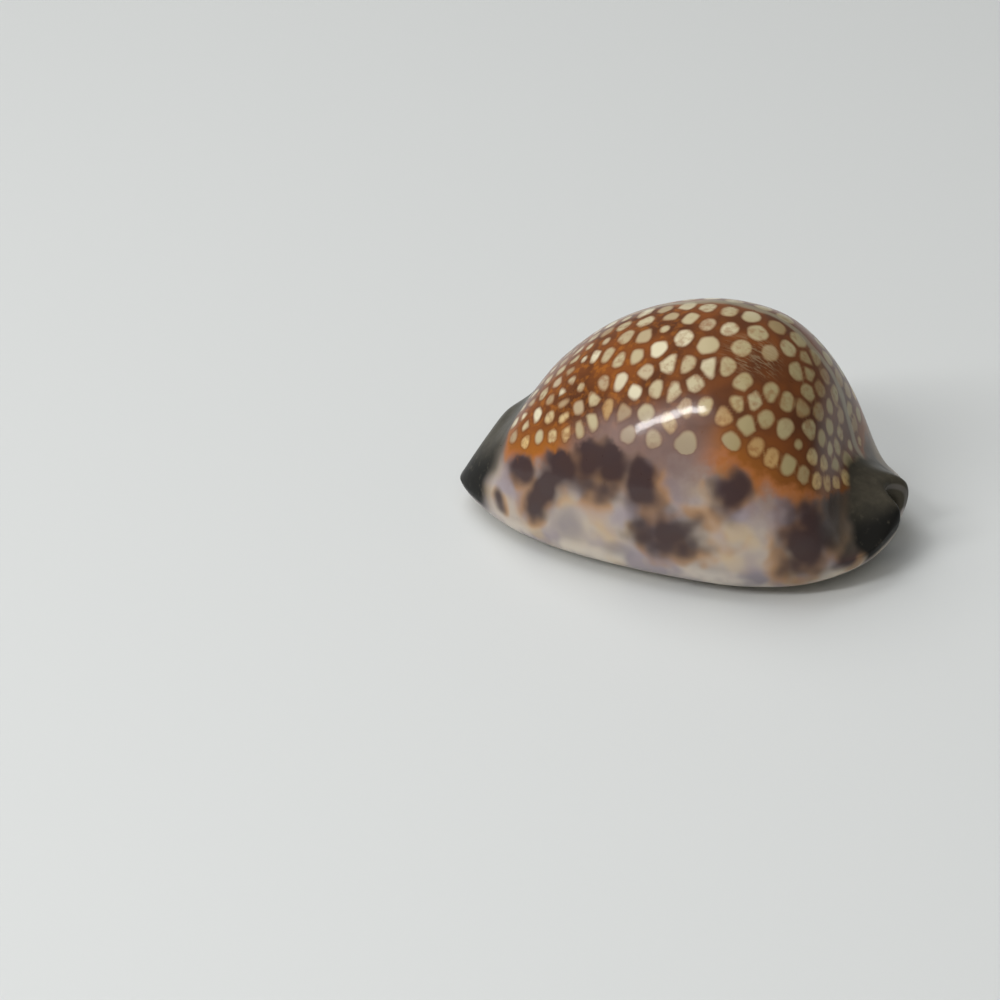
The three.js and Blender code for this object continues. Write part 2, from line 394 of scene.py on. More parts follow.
def smooth_over(sheet, levels):
    """Turns the faces outwards and rounds the whole sheet off."""
    select_points(sheet, np.ones(len(sheet.data.vertices)))
    bpy.ops.mesh.normals_make_consistent(inside=False)
    bpy.ops.object.mode_set(mode="OBJECT")
    bpy.ops.object.modifier_add(type="SUBSURF")
    rounding = sheet.modifiers[-1]
    rounding.levels = rounding.render_levels = levels
    bpy.ops.object.modifier_apply(modifier=rounding.name)
    bpy.ops.object.shade_smooth()


def stand_on_floor(sheet):
    """Centres the shell over the origin, with its base on the plane it rests on."""
    points = read_points(sheet)
    low, high = points.min(axis=0), points.max(axis=0)
    select_points(sheet, np.ones(len(points)))
    bpy.ops.transform.translate(value=(-(low[0] + high[0]) / 2, -(low[1] + high[1]) / 2, -low[2]))
    bpy.ops.object.mode_set(mode="OBJECT")


# ---- where the spots are -------------------------------------------------------------------
# The lower edge of the spotted dome: share of the shell's length, and degrees over the margin.
FRINGE = (
    (0.120, 90), (0.135, 46), (0.160, 36), (0.200, 31), (0.300, 32), (0.360, 34), (0.405, 39),
    (0.450, 33), (0.520, 31), (0.620, 32), (0.680, 37), (0.740, 34), (0.800, 33), (0.860, 35),
    (0.910, 40), (0.950, 52), (0.972, 64), (0.980, 90),
)
# Bare strips across the dome, in millimetres: two ends (x, distance from the middle, z), half width.
BARE_STRIPS = (
    ((-12.0, 8.0, 25.0), (9.5, 11.7, 27.4), 0.9), ((11.5, 8.0, 29.0), (16.0, 5.5, 27.6), 1.3),
    ((6.5, 15.2, 23.4), (9.0, 15.0, 23.2), 1.2),
)
CREST_LINE_AT = 3.8  # how far the pale line lies to the far side of the crest
NET, SPOT_SHARE = 0.78, 0.445  # the net's width, and a spot's radius as a share of the pitch
SPOT_STRETCH = (1.08, 0.93, 0.93)  # spots are a little longer round the shell than along it
SPOT_SIZES = (0.84, 1.16)
SMALL_SPOTS, SMALL_SIZE = 0.07, 0.5
HEXAGON = 0.866  # the area that each spot takes, in squares of the pitch
SETTLING_STEPS, THINNING = 16, 3
CORNER = 0.35  # how softly a round spot is squared off by its neighbours, in millimetres


def spot_pitch(along):
    """How far apart spots stand, in millimetres: they are smaller towards both ends."""
    return 2.5 + 0.85 * smooth((along - 0.2) / 0.2) - 0.4 * smooth((along - 0.72) / 0.15)


def to_strip(points, start, end):
    """Distance from a strip's middle line, which lies on both sides of the shell alike."""
    p = np.where((False, True, False), np.abs(points), points)
    a, b = np.array(start), np.array(end)
    t = np.clip((p - a) @ (b - a) / ((b - a) @ (b - a)), 0, 1)
    return np.linalg.norm(p - a - t[:, None] * (b - a), axis=1)


def nearest_two(points, centres):
    """Distance to the nearest and to the second nearest centre, and which is the nearest."""
    found = []
    for part in np.array_split(points, len(points) // 4000 + 1):
        square = ((part[:, None] - centres[None]) ** 2).sum(axis=2)
        index = square.argmin(axis=1)
        row = np.arange(len(part))
        first = square[row, index].copy()
        square[row, index] = np.inf
        found.append((np.sqrt(first), np.sqrt(square.min(axis=1)), index))
    return [np.concatenate(column) for column in zip(*found)]


def vertex_areas(shell):
    """The area round each point, in square millimetres."""
    areas = np.empty(len(shell.data.polygons))
    shell.data.polygons.foreach_get("area", areas)
    sizes = np.empty(len(areas), int)
    shell.data.polygons.foreach_get("loop_total", sizes)
    corners = np.empty(len(shell.data.loops), int)
    shell.data.loops.foreach_get("vertex_index", corners)
    return np.bincount(corners, np.repeat(areas / sizes, sizes), len(shell.data.vertices)) / MM**2


def spread_centres(random, points, weight, pull):
    """Picks places by weight, then settles them until they stand evenly."""
    count = int(weight.sum() / HEXAGON)
    centres = points[random.choice(len(points), count, replace=False, p=weight / weight.sum())]
    for _ in range(SETTLING_STEPS):
        index = nearest_two(points, centres)[2]
        total = np.bincount(index, pull, count).clip(1e-9)
        sums = [np.bincount(index, pull * points[:, axis], count) for axis in range(3)]
        centres = np.stack(sums, axis=1) / total[:, None]
    return centres


def depth_in_spot(points, centres, radius, net):
    """How deep each point lies in its spot, and which spot that is."""
    first, second, index = nearest_two(points, centres)
    round_part, shared_part = radius[index] - first, (second - first) / 2 - net / 2
    blend = np.clip(0.5 + 0.5 * (round_part - shared_part) / CORNER, 0, 1)
    return mix(round_part, shared_part, blend) - CORNER * blend * (1 - blend), index


def lay_spots(shell, seed):
    """Spreads spots over the dome and stores how deep each point lies in its spot, in millimetres."""
    random = np.random.default_rng(seed)
    points = read_points(shell) / MM
    along, angle, inside = (read_number(shell, name) for name in ("along", "angle", "inside"))
    shares, degrees = np.array(FRINGE).T
    over = (angle - np.interp(along, shares, degrees, left=200, right=200)) / 10
    write_number(shell, "over", over)

    bare = np.min([to_strip(points, a, b) - half for a, b, half in BARE_STRIPS], axis=0)
    bare = np.minimum(bare, np.abs(points[:, 1] - CREST_LINE_AT) - 0.5)
    dome = np.flatnonzero((inside < 0.2) & (over > -0.6))
    room = np.flatnonzero((inside < 0.2) & (over > 0.12) & (bare > 0.35))[::THINNING]
    points = points * SPOT_STRETCH
    pitch = spot_pitch(along[room])
    weight = vertex_areas(shell)[room] * THINNING / pitch**2
    centres = spread_centres(random, points[room], weight, weight / pitch**2)

    count = len(centres)
    own = [np.linalg.norm(points[room] - centre, axis=1).argmin() for centre in centres]
    radius = pitch[own] * SPOT_SHARE * random.uniform(*SPOT_SIZES, count)
    radius[random.random(count) < SMALL_SPOTS] *= SMALL_SIZE
    net = NET * (1.1 - 0.4 * smooth((along[dome] - 0.5) / 0.2))
    depth = np.full(len(points), -1.0)
    depth[dome], index = depth_in_spot(points[dome], centres, radius, net)
    write_number(shell, "spot", depth)
    for name in ("tone", "other"):
        shade = np.zeros(len(points))
        shade[dome] = random.random(count)[index]
        write_number(shell, name, shade)


# ---- material helpers ----------------------------------------------------------------------
class Sketch:
    """A node tree with short ways to add nodes and join them."""

    def __init__(self, tree):
        self.tree = tree

    def add(self, kind, sockets=None, **settings):
        """A node of this kind. A socket is given a value, or another node's output to link."""
        node = self.tree.nodes.new(kind)
        for name, value in settings.items():
            setattr(node, name, value)
        for name, value in (sockets or {}).items():
            socket = node.inputs[name]
            if isinstance(value, bpy.types.NodeSocket):
                self.tree.links.new(value, socket)
            else:
                socket.default_value = value
        return node

    def math(self, operation, *values, clamp=False):
        node = self.add("ShaderNodeMath", dict(enumerate(values)), operation=operation, use_clamp=clamp)
        return node.outputs[0]

    def times(self, a, b):
        return self.math("MULTIPLY", a, b)

    def plus(self, a, b):
        return self.math("ADD", a, b)

    def vector(self, operation, *values, out=0):
        return self.add("ShaderNodeVectorMath", dict(enumerate(values)), operation=operation).outputs[out]

    def step(self, value, low, high):
        """0 below low, 1 above high, and smooth between. With low above high it falls instead."""
        sockets = {"Value": value, "From Min": low, "From Max": high}
        return self.add("ShaderNodeMapRange", sockets, interpolation_type="SMOOTHSTEP").outputs[0]

    def blend(self, share, a, b):
        """Mixes two colours, each a value or another node's output."""
        node = self.add("ShaderNodeMix", data_type="RGBA")
        for index, value in ((0, share), (6, a), (7, b)):
            if isinstance(value, bpy.types.NodeSocket):
                self.tree.links.new(value, node.inputs[index])
            else:
                node.inputs[index].default_value = value
        return node.outputs[2]

    def layers(self, colour, *coats):
        """Lays coats over a colour. Each coat is where it lies, how strong it is and its colour."""
        for where, strength, coat in coats:
            colour = self.blend(where if strength == 1 else self.times(where, strength), colour, coat)
        return colour

    def noise(self, place, scale, detail=2.0, rough=0.5, out=0):
        sockets = {"Vector": place, "Scale": scale, "Detail": detail, "Roughness": rough}
        return self.add("ShaderNodeTexNoise", sockets).outputs[out]

    def wobble(self, place, scale, detail, amount):
        """A noise that swings to both sides of 0."""
        return self.times(self.math("SUBTRACT", self.noise(place, scale, detail), 0.5), amount)

    def from_oval(self, place, centre, radii):
        """Distance from the middle of an oval, which is 1 on its edge."""
        sockets = {"Vector": place, "Location": centre, "Scale": radii}
        local = self.add("ShaderNodeMapping", sockets, vector_type="TEXTURE").outputs[0]
        return self.vector("LENGTH", local, out=1)

    def number(self, name):
        return self.add("ShaderNodeAttribute", attribute_name=name).outputs["Fac"]

    def parts(self, vector):
        return self.add("ShaderNodeSeparateXYZ", {0: vector}).outputs

    def join(self, x, y, z=0.0):
        return self.add("ShaderNodeCombineXYZ", {0: x, 1: y, 2: z}).outputs[0]


def group(name, inputs, outputs):
    """An empty node group with these sockets. Returns it, a sketch of it and its two end nodes."""
    kinds = {"F": "NodeSocketFloat", "V": "NodeSocketVector"}
    tree = bpy.data.node_groups.new(name, "ShaderNodeTree")
    for label, kind, default in inputs:
        socket = tree.interface.new_socket(label, in_out="INPUT", socket_type=kinds[kind])
        if default is not None:
            socket.default_value = default
    for label, kind in outputs:
        tree.interface.new_socket(label, in_out="OUTPUT", socket_type=kinds[kind])
    sketch = Sketch(tree)
    return tree, sketch, sketch.add("NodeGroupInput").outputs, sketch.add("NodeGroupOutput").inputs


def use(sketch, tree, **sockets):
    """Places a node group."""
    return sketch.add("ShaderNodeGroup", sockets, node_tree=tree)


def rgba(colour):
    """A colour with its alpha."""
    return (*colour[:3], 1.0)


# ---- the shell's markings ------------------------------------------------------------------
def wander_group():
    """Shifts a place by a soft noise, so that nothing on it is drawn with a ruler."""
    tree, s, given, out = group(
        "wander", [("Vector", "V", None), ("By", "V", None), ("Scale", "F", 0.3), ("Amount", "F", 1.0)],
        [("Vector", "V")],
    )
    noise = s.noise(given["By"], given["Scale"], 0.0, 0.5, out=1)
    centred = s.vector("SUBTRACT", noise, (0.5, 0.5, 0.5))
    sized = s.add("ShaderNodeVectorMath", {0: centred, "Scale": given["Amount"]}, operation="SCALE")
    s.tree.links.new(s.vector("ADD", given["Vector"], sized.outputs[0]), out["Vector"])
    return tree


def blotch_group():
    """One oval blotch joined to those before it. Distance is 1 on the edge and 0 in the middle."""
    tree, s, given, out = group(
        "blotch",
        [("Vector", "V", None), ("Centre", "V", None), ("Size", "V", (1, 1, 1)), ("Turn", "V", None),
         ("Others", "F", 9.0)],
        [("Distance", "F")],
    )
    sockets = {"Vector": given["Vector"], "Location": given["Centre"], "Rotation": given["Turn"],
               "Scale": given["Size"]}
    local = s.add("ShaderNodeMapping", sockets, vector_type="TEXTURE").outputs[0]
    length = s.vector("LENGTH", local, out=1)
    s.tree.links.new(s.math("SMOOTH_MIN", length, given["Others"], 0.35), out["Distance"])
    return tree


# Blotches on the margin, in millimetres: along the shell, height, half width, half height and
# degrees of lean. The pale ones are only a grey shade.
BLOTCHES = (
    (-21.8, 6.8, 1.0, 1.9, 0), (-18.6, 12.6, 2.2, 2.4, 0), (-14.2, 10.8, 2.1, 5.0, -24),
    (-7.0, 16.6, 5.2, 4.4, 0), (-11.6, 15.0, 3.2, 3.0, 0), (0.4, 15.4, 2.8, 4.0, 6),
    (4.9, 9.6, 5.9, 3.4, 8), (12.4, 16.4, 2.5, 3.4, 0), (22.0, 9.2, 3.2, 5.6, 4),
    (27.2, 5.8, 1.5, 1.6, 0),
)
PALE_BLOTCHES = (
    (-10.4, 7.0, 2.0, 3.2, 0), (-2.8, 4.9, 2.6, 1.6, 0), (10.2, 5.2, 2.4, 1.8, 0),
    (17.2, 4.4, 3.2, 1.5, 0), (-17.0, 7.4, 1.3, 2.4, 20), (25.4, 12.4, 2.0, 2.4, 0),
)


def blotch_distance(s, tree, place, blotches):
    """Distance from the nearest of these blotches, in their own half sizes."""
    distance = 9.0
    for x, height, half_width, half_height, lean in blotches:
        node = use(s, tree, Vector=place, Others=distance, Centre=(x, height, 0),
                   Size=(half_width, half_height, 1), Turn=(0, 0, math.radians(lean)))
        distance = node.outputs[0]
    return distance


def shell_fields(s):
    """The places, stored numbers and broad noises that all the markings are drawn from."""
    f = SimpleNamespace(place=s.vector("SCALE", s.add("ShaderNodeTexCoord").outputs["Object"]))
    f.place.node.inputs["Scale"].default_value = 1 / MM
    f.x, f.y, f.z = s.parts(f.place)[:3]
    for name in ("along", "angle", "inside", "over", "spot", "tone", "other"):
        setattr(f, name, s.number(name))
    f.soft, f.fine = s.noise(f.place, 0.16, 2.0), s.noise(f.place, 0.9, 3.0)
    f.loose = s.math("SUBTRACT", f.soft, 0.5)
    f.edge = s.plus(f.over, s.wobble(f.place, 0.5, 2.0, 1.1))
    f.middle = s.times(s.step(f.x, -14.0, -9.0), s.step(f.x, 11.0, 6.0))
    f.far = s.math("GREATER_THAN", f.y, 0.0)
    return f


def spot_colour(s, f, ink, depth):
    """Cream spots: duller towards the posterior end, and some yellow, mottled or faded."""
    dull = s.step(s.plus(f.x, s.times(f.loose, 18.0)), 3.0, 15.0)
    warm = s.times(s.step(f.over, 2.2, 0.4), s.step(f.other, 0.35, 0.8))
    mottled = s.times(s.step(s.noise(f.place, 1.1), 0.40, 0.75), s.step(f.other, 0.1, 0.7))
    faded = s.step(s.math("FRACT", s.times(s.plus(f.tone, f.other), 7.0)), 0.55, 1.0)
    return s.layers(
        ink.spot,
        (s.step(f.tone, 0.35, 1.0), 1, ink.bright_spot),
        (dull, 0.75, ink.dull_spot),
        (warm, 0.7, ink.warm_spot),
        (mottled, 0.5, ink.net),
        (s.step(depth, 0.40, 0.05), 0.38, ink.net),
        (faded, 0.42, ink.net),
    )


def net_colour(s, f, ink, outline):
    """The brown net: lively towards the anterior end, and orange low on the dome but mauve in its middle,
    where the mauve is partly a painted sheen.
    """
    lively = s.times(s.step(f.fine, 0.45, 0.7), s.step(f.x, 10.0, -6.0))
    return s.layers(
        ink.net,
        (s.step(f.soft, 0.35, 0.65), 1, ink.dark_net),
        (lively, 0.6, ink.orange),
        # Low on the dome the net is orange, but mauve in the middle: that mauve is partly a painted sheen.
        (s.step(f.over, 1.4, 0.0), 0.7, s.blend(f.middle, ink.orange, ink.haze_and_sheen)),
        (outline, 0.4, ink.dark_net),
        (s.step(f.x, 6.0, 22.0), 0.45, ink.dark_net),
    )


def scratched_place(s, f):
    """Crossed scratches in one scuffed place beside the crest."""
    scuff = s.plus(s.from_oval(f.place, (11.5, -6.0, 30.0), (5.0, 4.0, 4.0)), s.times(f.loose, 1.5))
    sockets = {"Vector": f.place, "Rotation": (0, 0.3, 0.9), "Scale": (0.5, 4.0, 1.5)}
    drawn_out = s.add("ShaderNodeMapping", sockets).outputs[0]
    return s.times(s.step(scuff, 1.1, 0.4), s.step(s.noise(drawn_out, 1.0, 2.0, 0.6), 0.45, 0.62))


def spotted_dome(s, f, ink, scratched):
    """Spots in their net, the pale line beside the crest, the scratches and a milky patch round the
    highlight, which is a painted sheen.
    """
    depth = s.plus(f.spot, s.wobble(f.place, 0.6, 1.0, 0.34))
    depth = s.plus(depth, s.wobble(f.place, 0.14, 1.0, 0.3))
    depth = s.math("SUBTRACT", depth, s.times(s.step(f.edge, 0.25, -0.35), 1.2))
    on_spot = s.step(depth, -0.19, 0.22)
    outline = s.times(s.step(depth, -0.40, -0.05), s.math("SUBTRACT", 1.0, on_spot))
    dome = s.blend(on_spot, net_colour(s, f, ink, outline), spot_colour(s, f, ink, depth))

    line_at = s.plus(CREST_LINE_AT, s.times(f.loose, 3.0))
    from_line = s.math("ABSOLUTE", s.math("SUBTRACT", f.y, line_at))
    # A soft milky patch on the middle of the dome, on both sides: a painted sheen round the highlight.
    from_painted_sheen = s.plus(s.from_oval(s.join(f.x, f.z), (1.5, 21.0, 0), (10.0, 4.5, 1)), s.times(f.loose, 1.6))
    return s.layers(
        dome,
        (s.step(from_line, 1.1, 0.3), 0.55, ink.crest_line),
        (scratched, 0.22, ink.spot),
        (s.step(from_painted_sheen, 1.25, 0.3), 0.45, ink.haze_and_sheen),
    )


def blotched_margin(s, f, ink):
    """Cream and lilac patches under soft dark blotches, with rust and mauve along the fringe. In the middle
    the mauve is partly a painted sheen.
    """
    wander, blotch = wander_group(), blotch_group()
    # the far side has the same blotches from end to end the other way
    u = s.add("ShaderNodeMix", {0: f.far, 2: f.x, 3: s.math("SUBTRACT", 1.5, f.x)}).outputs[0]
    flat = use(s, wander, Vector=s.join(u, f.z), By=f.place, Scale=0.18, Amount=2.2).outputs[0]
    pale = blotch_distance(s, blotch, flat, PALE_BLOTCHES)
    dark = s.plus(blotch_distance(s, blotch, flat, BLOTCHES), s.wobble(f.place, 0.32, 1.0, 1.1))
    pale_edge = s.times(s.step(f.angle, 4.0, -14.0), s.step(f.soft, 0.62, 0.4))
    halo = s.times(s.step(dark, 1.8, 1.15), s.step(s.noise(f.place, 0.25, 1.0), 0.38, 0.6))
    rusty = s.times(s.step(f.edge, -0.9, -0.1), s.step(dark, 0.7, 1.15))
    return s.layers(
        ink.margin,
        (s.step(f.soft, 0.35, 0.65), 1, ink.lilac),
        (s.step(s.noise(f.place, 0.22, 1.0), 0.5, 0.7), 0.55, ink.warm_margin),
        (s.step(pale, 1.4, 0.4), 0.6, ink.shade),
        (s.step(f.edge, -2.6, -0.3), 0.8, ink.haze_and_sheen),
        (pale_edge, 0.6, ink.base),
        (halo, 0.65, ink.halo),
        (s.step(dark, 1.55, 0.55), 0.97, ink.blotch),
        # In the middle the rust gives way to mauve, which there is partly a painted sheen.
        (rusty, 0.85, s.blend(f.middle, ink.rust, ink.haze_and_sheen)),
    )


def end_places(s, f):
    """Where the two dark ends are, and the olive shade beside them."""
    wavy = s.plus(f.along, s.times(f.loose, 0.045))
    front = s.times(s.step(wavy, 0.150, 0.112), s.step(f.angle, -22.0, -6.0))
    back = s.times(s.step(wavy, 0.944, 0.962), s.step(f.angle, -34.0, -14.0))
    olive_front = s.times(s.step(wavy, 0.165, 0.13), s.step(f.angle, 12.0, 24.0))
    olive_back = s.times(s.step(wavy, 0.87, 0.945), s.step(f.angle, -4.0, 14.0))
    olive = s.times(s.math("MAXIMUM", olive_back, olive_front), s.step(f.edge, 0.2, -0.4))
    return s.math("MAXIMUM", front, back), olive


def end_colour(s, f, ink):
    """Near black, and olive brown high on the ends and on the outer lip's posterior end."""
    far_end = s.times(s.times(f.far, s.step(f.along, 0.5, 0.9)), 0.75)
    high = s.times(s.step(f.angle, 20.0, 50.0), s.math("MULTIPLY_ADD", f.fine, 0.8, 0.3, clamp=True))
    return s.layers(
        ink.dark_end,
        (s.step(f.fine, 0.55, 0.85), 1, ink.grey_end),
        (s.math("MAXIMUM", far_end, high), 1, ink.olive_end),
    )


def tooth_stain(s, f, teeth):
    """Where the teeth are stained: on their ridges, close to the slit."""
    start, stop = TOOTHED
    turn = s.times(s.math("SUBTRACT", f.along, start), 2 * math.pi * teeth / (stop - start))
    ridge = s.math("MULTIPLY_ADD", s.math("COSINE", turn), -0.5, 0.5)
    toothed = s.times(s.step(f.along, start, start + 0.01), s.step(f.along, stop, stop - 0.01))
    return s.times(s.times(s.step(ridge, 0.35, 0.9), toothed), s.step(f.angle, -83.5, -88.5))


def underside(s, f, ink, colour, teeth):
    """Adds the pale base, the teeth, the hollow and the pale rims of the canals, which are partly a painted
    highlight.
    """
    base = s.layers(
        ink.base,
        (s.step(f.soft, 0.35, 0.75), 0.5, ink.margin),
        (s.step(f.fine, 0.5, 0.8), 0.15, ink.margin),
    )
    in_canal = s.step(s.math("ABSOLUTE", s.math("SUBTRACT", f.along, 0.5)), 0.40, 0.455)
    # The canals' rims are paler, partly their own pale edge and partly a painted highlight, so they are
    # painted paler on the near side than on the far side.
    rim = s.times(s.step(f.inside, 0.25, 0.42), s.step(f.inside, 0.75, 0.58))
    rim = s.times(rim, s.math("MULTIPLY_ADD", s.step(f.y, -0.6, 0.8), -0.42, 0.6))
    return s.layers(
        colour,
        (s.step(f.angle, -20.0, -50.0), 1, base),
        (tooth_stain(s, f, teeth), 0.75, ink.tooth),
        (s.step(f.inside, 0.55, 0.95), 1, s.blend(in_canal, ink.hollow, ink.olive_end)),
        (rim, 1, ink.rim),
    )


def fine_relief(s, f):
    """A faint unevenness under the gloss, in millimetres."""
    height = s.plus(s.times(s.noise(f.place, 0.35, 1.0), 0.06), s.times(s.noise(f.place, 2.2, 3.0), 0.008))
    return s.add("ShaderNodeBump", {"Height": height, "Strength": 0.5, "Distance": MM}).outputs[0]


def shell_material(colours, gloss, teeth):
    """Spotted net on the dome, blotched cream margin, dark ends, toothed pale base."""
    material = bpy.data.materials.new("cowrie_porcelain")
    material.use_nodes = True
    s = Sketch(material.node_tree)
    s.tree.nodes.clear()
    ink = SimpleNamespace(**{name: rgba(getattr(colours, name)) for name in CowrieColours.__annotations__})
    f = shell_fields(s)

    scratched = scratched_place(s, f)
    ends, olive = end_places(s, f)
    colour = s.layers(
        blotched_margin(s, f, ink),
        (s.step(f.edge, -0.30, 0.15), 1, spotted_dome(s, f, ink, scratched)),
        (olive, 0.75, ink.grey_end),
        (ends, 1, end_colour(s, f, ink)),
    )
    relief = fine_relief(s, f)
    roughness = s.math("MULTIPLY_ADD", s.noise(f.place, 1.1, 3.0), 0.12, gloss.roughness - 0.06)
    worn = s.math("MAXIMUM", s.math("MAXIMUM", ends, olive), s.times(s.step(f.x, 11.0, 20.0), 0.6))
    shader = s.add("ShaderNodeBsdfPrincipled", {
        "Base Color": underside(s, f, ink, colour, teeth),
        "Roughness": s.plus(roughness, s.times(scratched, 0.15)),
        "Normal": relief,
        "IOR": 1.5,
        "Specular IOR Level": s.math("MULTIPLY_ADD", ends, -0.09, 0.12),
        "Coat Weight": s.math("MULTIPLY_ADD", worn, -0.34, 0.39),
        "Coat Roughness": 0.08,
        "Coat Normal": relief,
    })
    s.add("ShaderNodeOutputMaterial", {"Surface": shader.outputs[0]})
    return material


# ---- what a user would change --------------------------------------------------------------
def colour_property(name, description, default):
    return FloatVectorProperty(name=name, description=description, default=default, subtype="COLOR",
                               size=3, min=0.0, max=1.0)


class CowrieShape(bpy.types.PropertyGroup):
    teeth: IntProperty(name="Teeth", description="Teeth on each lip", default=26, min=8, max=40)
    tooth_out: FloatProperty(name="Tooth reach", description="How far a tooth stands into the slit",
                             default=0.6 * MM, unit="LENGTH", precision=4)
    tooth_down: FloatProperty(name="Tooth height", description="How far a tooth stands out of the base",
                              default=0.55 * MM, unit="LENGTH", precision=4)
    hollow: FloatProperty(name="Hollow", description="Size of the hollow as a share of the dome",
                          default=0.945, min=0.8, max=0.97, subtype="FACTOR")
    seed: IntProperty(name="Spot seed", description="Another number lays the spots out anew",
                      default=7, min=0)
    rounding: IntProperty(name="Rounding", description="Subdivision levels", default=1, min=0, max=1)


class CowrieColours(bpy.types.PropertyGroup):
    net: colour_property("Net", "The brown net between the spots", (0.205, 0.062, 0.014))
    dark_net: colour_property("Dark net", "Where the net is darkest", (0.095, 0.032, 0.012))
    orange: colour_property("Orange", "Where the net is brightest", (0.360, 0.122, 0.017))
    spot: colour_property("Spot", "Most spots", (0.470, 0.395, 0.240))
    bright_spot: colour_property("Bright spot", "The palest spots", (0.660, 0.600, 0.420))
    dull_spot: colour_property("Dull spot", "Spots of the posterior half", (0.310, 0.242, 0.105))
    warm_spot: colour_property("Warm spot", "Yellowish spots low on the dome", (0.680, 0.445, 0.171))
    crest_line: colour_property("Crest line", "The pale line beside the crest", (0.376, 0.352, 0.242))
    margin: colour_property("Margin", "The rim round the base", (0.480, 0.400, 0.320))
    lilac: colour_property("Lilac", "Cool patches on the margin", (0.330, 0.280, 0.295))
    warm_margin: colour_property("Warm margin", "Warm patches on the margin", (0.560, 0.410, 0.230))
    shade: colour_property("Shade", "Faint grey blotches", (0.200, 0.180, 0.200))
    rust: colour_property("Rust", "Edges of the blotches and of the net", (0.376, 0.120, 0.025))
    halo: colour_property("Halo", "Warm halo round a blotch", (0.45, 0.22, 0.07))
    # Mauve of its own, and also the colour of the painted sheen round the highlight and low in the middle
    # of the dome.
    haze_and_sheen: colour_property("Haze", "Mauve haze between the net and the margin", (0.205, 0.138, 0.122))
    blotch: colour_property("Blotch", "Dark blotches on the margin", (0.048, 0.027, 0.027))
    dark_end: colour_property("Dark end", "The two ends", (0.015, 0.0145, 0.013))
    grey_end: colour_property("Grey end", "Paler parts of the ends", (0.070, 0.062, 0.048))
    olive_end: colour_property("Olive end", "The outer lip's posterior end", (0.075, 0.066, 0.048))
    # Pale canal edges, partly a painted highlight.
    rim: colour_property("Rim", "The edges of the canals", (0.45, 0.42, 0.40))
    base: colour_property("Base", "The underside", (0.753, 0.680, 0.578))
    tooth: colour_property("Tooth", "Stain on the teeth", (0.262, 0.070, 0.021))
    hollow: colour_property("Hollow", "Inside the shell", (0.62, 0.56, 0.56))


class CowrieGloss(bpy.types.PropertyGroup):
    roughness: FloatProperty(name="Roughness", description="Lower is glossier", default=0.30, min=0.0,
                             max=1.0, subtype="FACTOR")


class CowrieStage(bpy.types.PropertyGroup):
    floor: colour_property("Floor", "The plain floor", (0.625, 0.640, 0.632))
    azimuth: FloatProperty(name="View azimuth", description="Camera's turn round the shell",
                           default=math.radians(18.8), subtype="ANGLE")
    elevation: FloatProperty(name="View elevation", description="Camera's height over the floor",
                             default=math.radians(29.9), subtype="ANGLE")
    distance: FloatProperty(name="View distance", description="From the shell to the camera",
                            default=0.4, unit="LENGTH")
    lens: FloatProperty(name="Lens", description="Focal length in millimetres", default=104.1)


# ---- the stage -----------------------------------------------------------------------------
AIM_HEIGHT = 13 * MM  # the height in the shell that the view turns about
AIM_LEFT, AIM_DOWN = 25.6 * MM, 9.1 * MM  # the shell stands off the middle of the view by this
FLOOR_SIZE = 4.8
WORLD_COLOUR, WORLD_STRENGTH = (0.80, 0.81, 0.80), 0.2
# Area lights: name, the two directions it is stretched between (azimuth and elevation in degrees),
# distance and width in metres, watts, colour, and whether the gloss mirrors it.
LIGHTS = (
    ("key", (-150, 50), (-60, 55), 1.0, 0.7, 5.3, (1, 1, 1), False),
    ("fill", (-40, 50), (60, 50), 1.2, 0.9, 3.1, (1, 1, 1), False),
    ("strip", (-38, 26), (-15, 48), 0.8, 0.05, 2.4, (1, 1, 1), True),
    ("sheen", (-48, 24), (-8, 50), 0.85, 0.26, 0.45, (1.0, 0.94, 0.96), True),
)


def floor_sheet(colour):
    """A pale floor."""
    bpy.ops.object.select_all(action="DESELECT")
    bpy.ops.mesh.primitive_plane_add(size=FLOOR_SIZE)
    floor = bpy.context.object
    floor.name = "floor"
    material = bpy.data.materials.new("pale_floor")
    material.use_nodes = True
    shader = material.node_tree.nodes["Principled BSDF"]
    shader.inputs["Base Color"].default_value = rgba(colour)
    shader.inputs["Roughness"].default_value = 0.55
    shader.inputs["Specular IOR Level"].default_value = 0.3
    floor.data.materials.append(material)
    return floor


def towards(azimuth, elevation):
    """The direction from the shell: azimuth 0 is -Y and 90 is +X."""
    a, e = math.radians(azimuth), math.radians(elevation)
    return Vector((math.sin(a) * math.cos(e), -math.cos(a) * math.cos(e), math.sin(e)))


def area_light(name, start, end, distance, width, watts, colour, mirrored):
    """A rectangular light that faces the shell, stretched from one direction to another."""
    start, end = (towards(*way) * distance for way in (start, end))
    middle, span = (start + end) / 2, end - start
    bpy.ops.object.light_add(type="AREA", location=middle + Vector((0, 0, AIM_HEIGHT)))
    light = bpy.context.object
    light.name = name
    back = middle.normalized()
    side = (span - back * span.dot(back)).normalized()
    light.rotation_euler = Matrix((side, back.cross(side), back)).transposed().to_euler()
    light.data.shape = "RECTANGLE"
    light.data.size, light.data.size_y = span.length, width
    light.data.energy = watts
    light.data.color = colour
    light.visible_glossy = mirrored


def stage_lights():
    """The area lights, and an even dim light from all around."""
    for light in LIGHTS:
        area_light(*light)
    world = bpy.context.scene.world or bpy.data.worlds.new("room")
    bpy.context.scene.world = world
    world.use_nodes = True
    background = world.node_tree.nodes["Background"]
    background.inputs["Color"].default_value = rgba(WORLD_COLOUR)
    background.inputs["Strength"].default_value = WORLD_STRENGTH


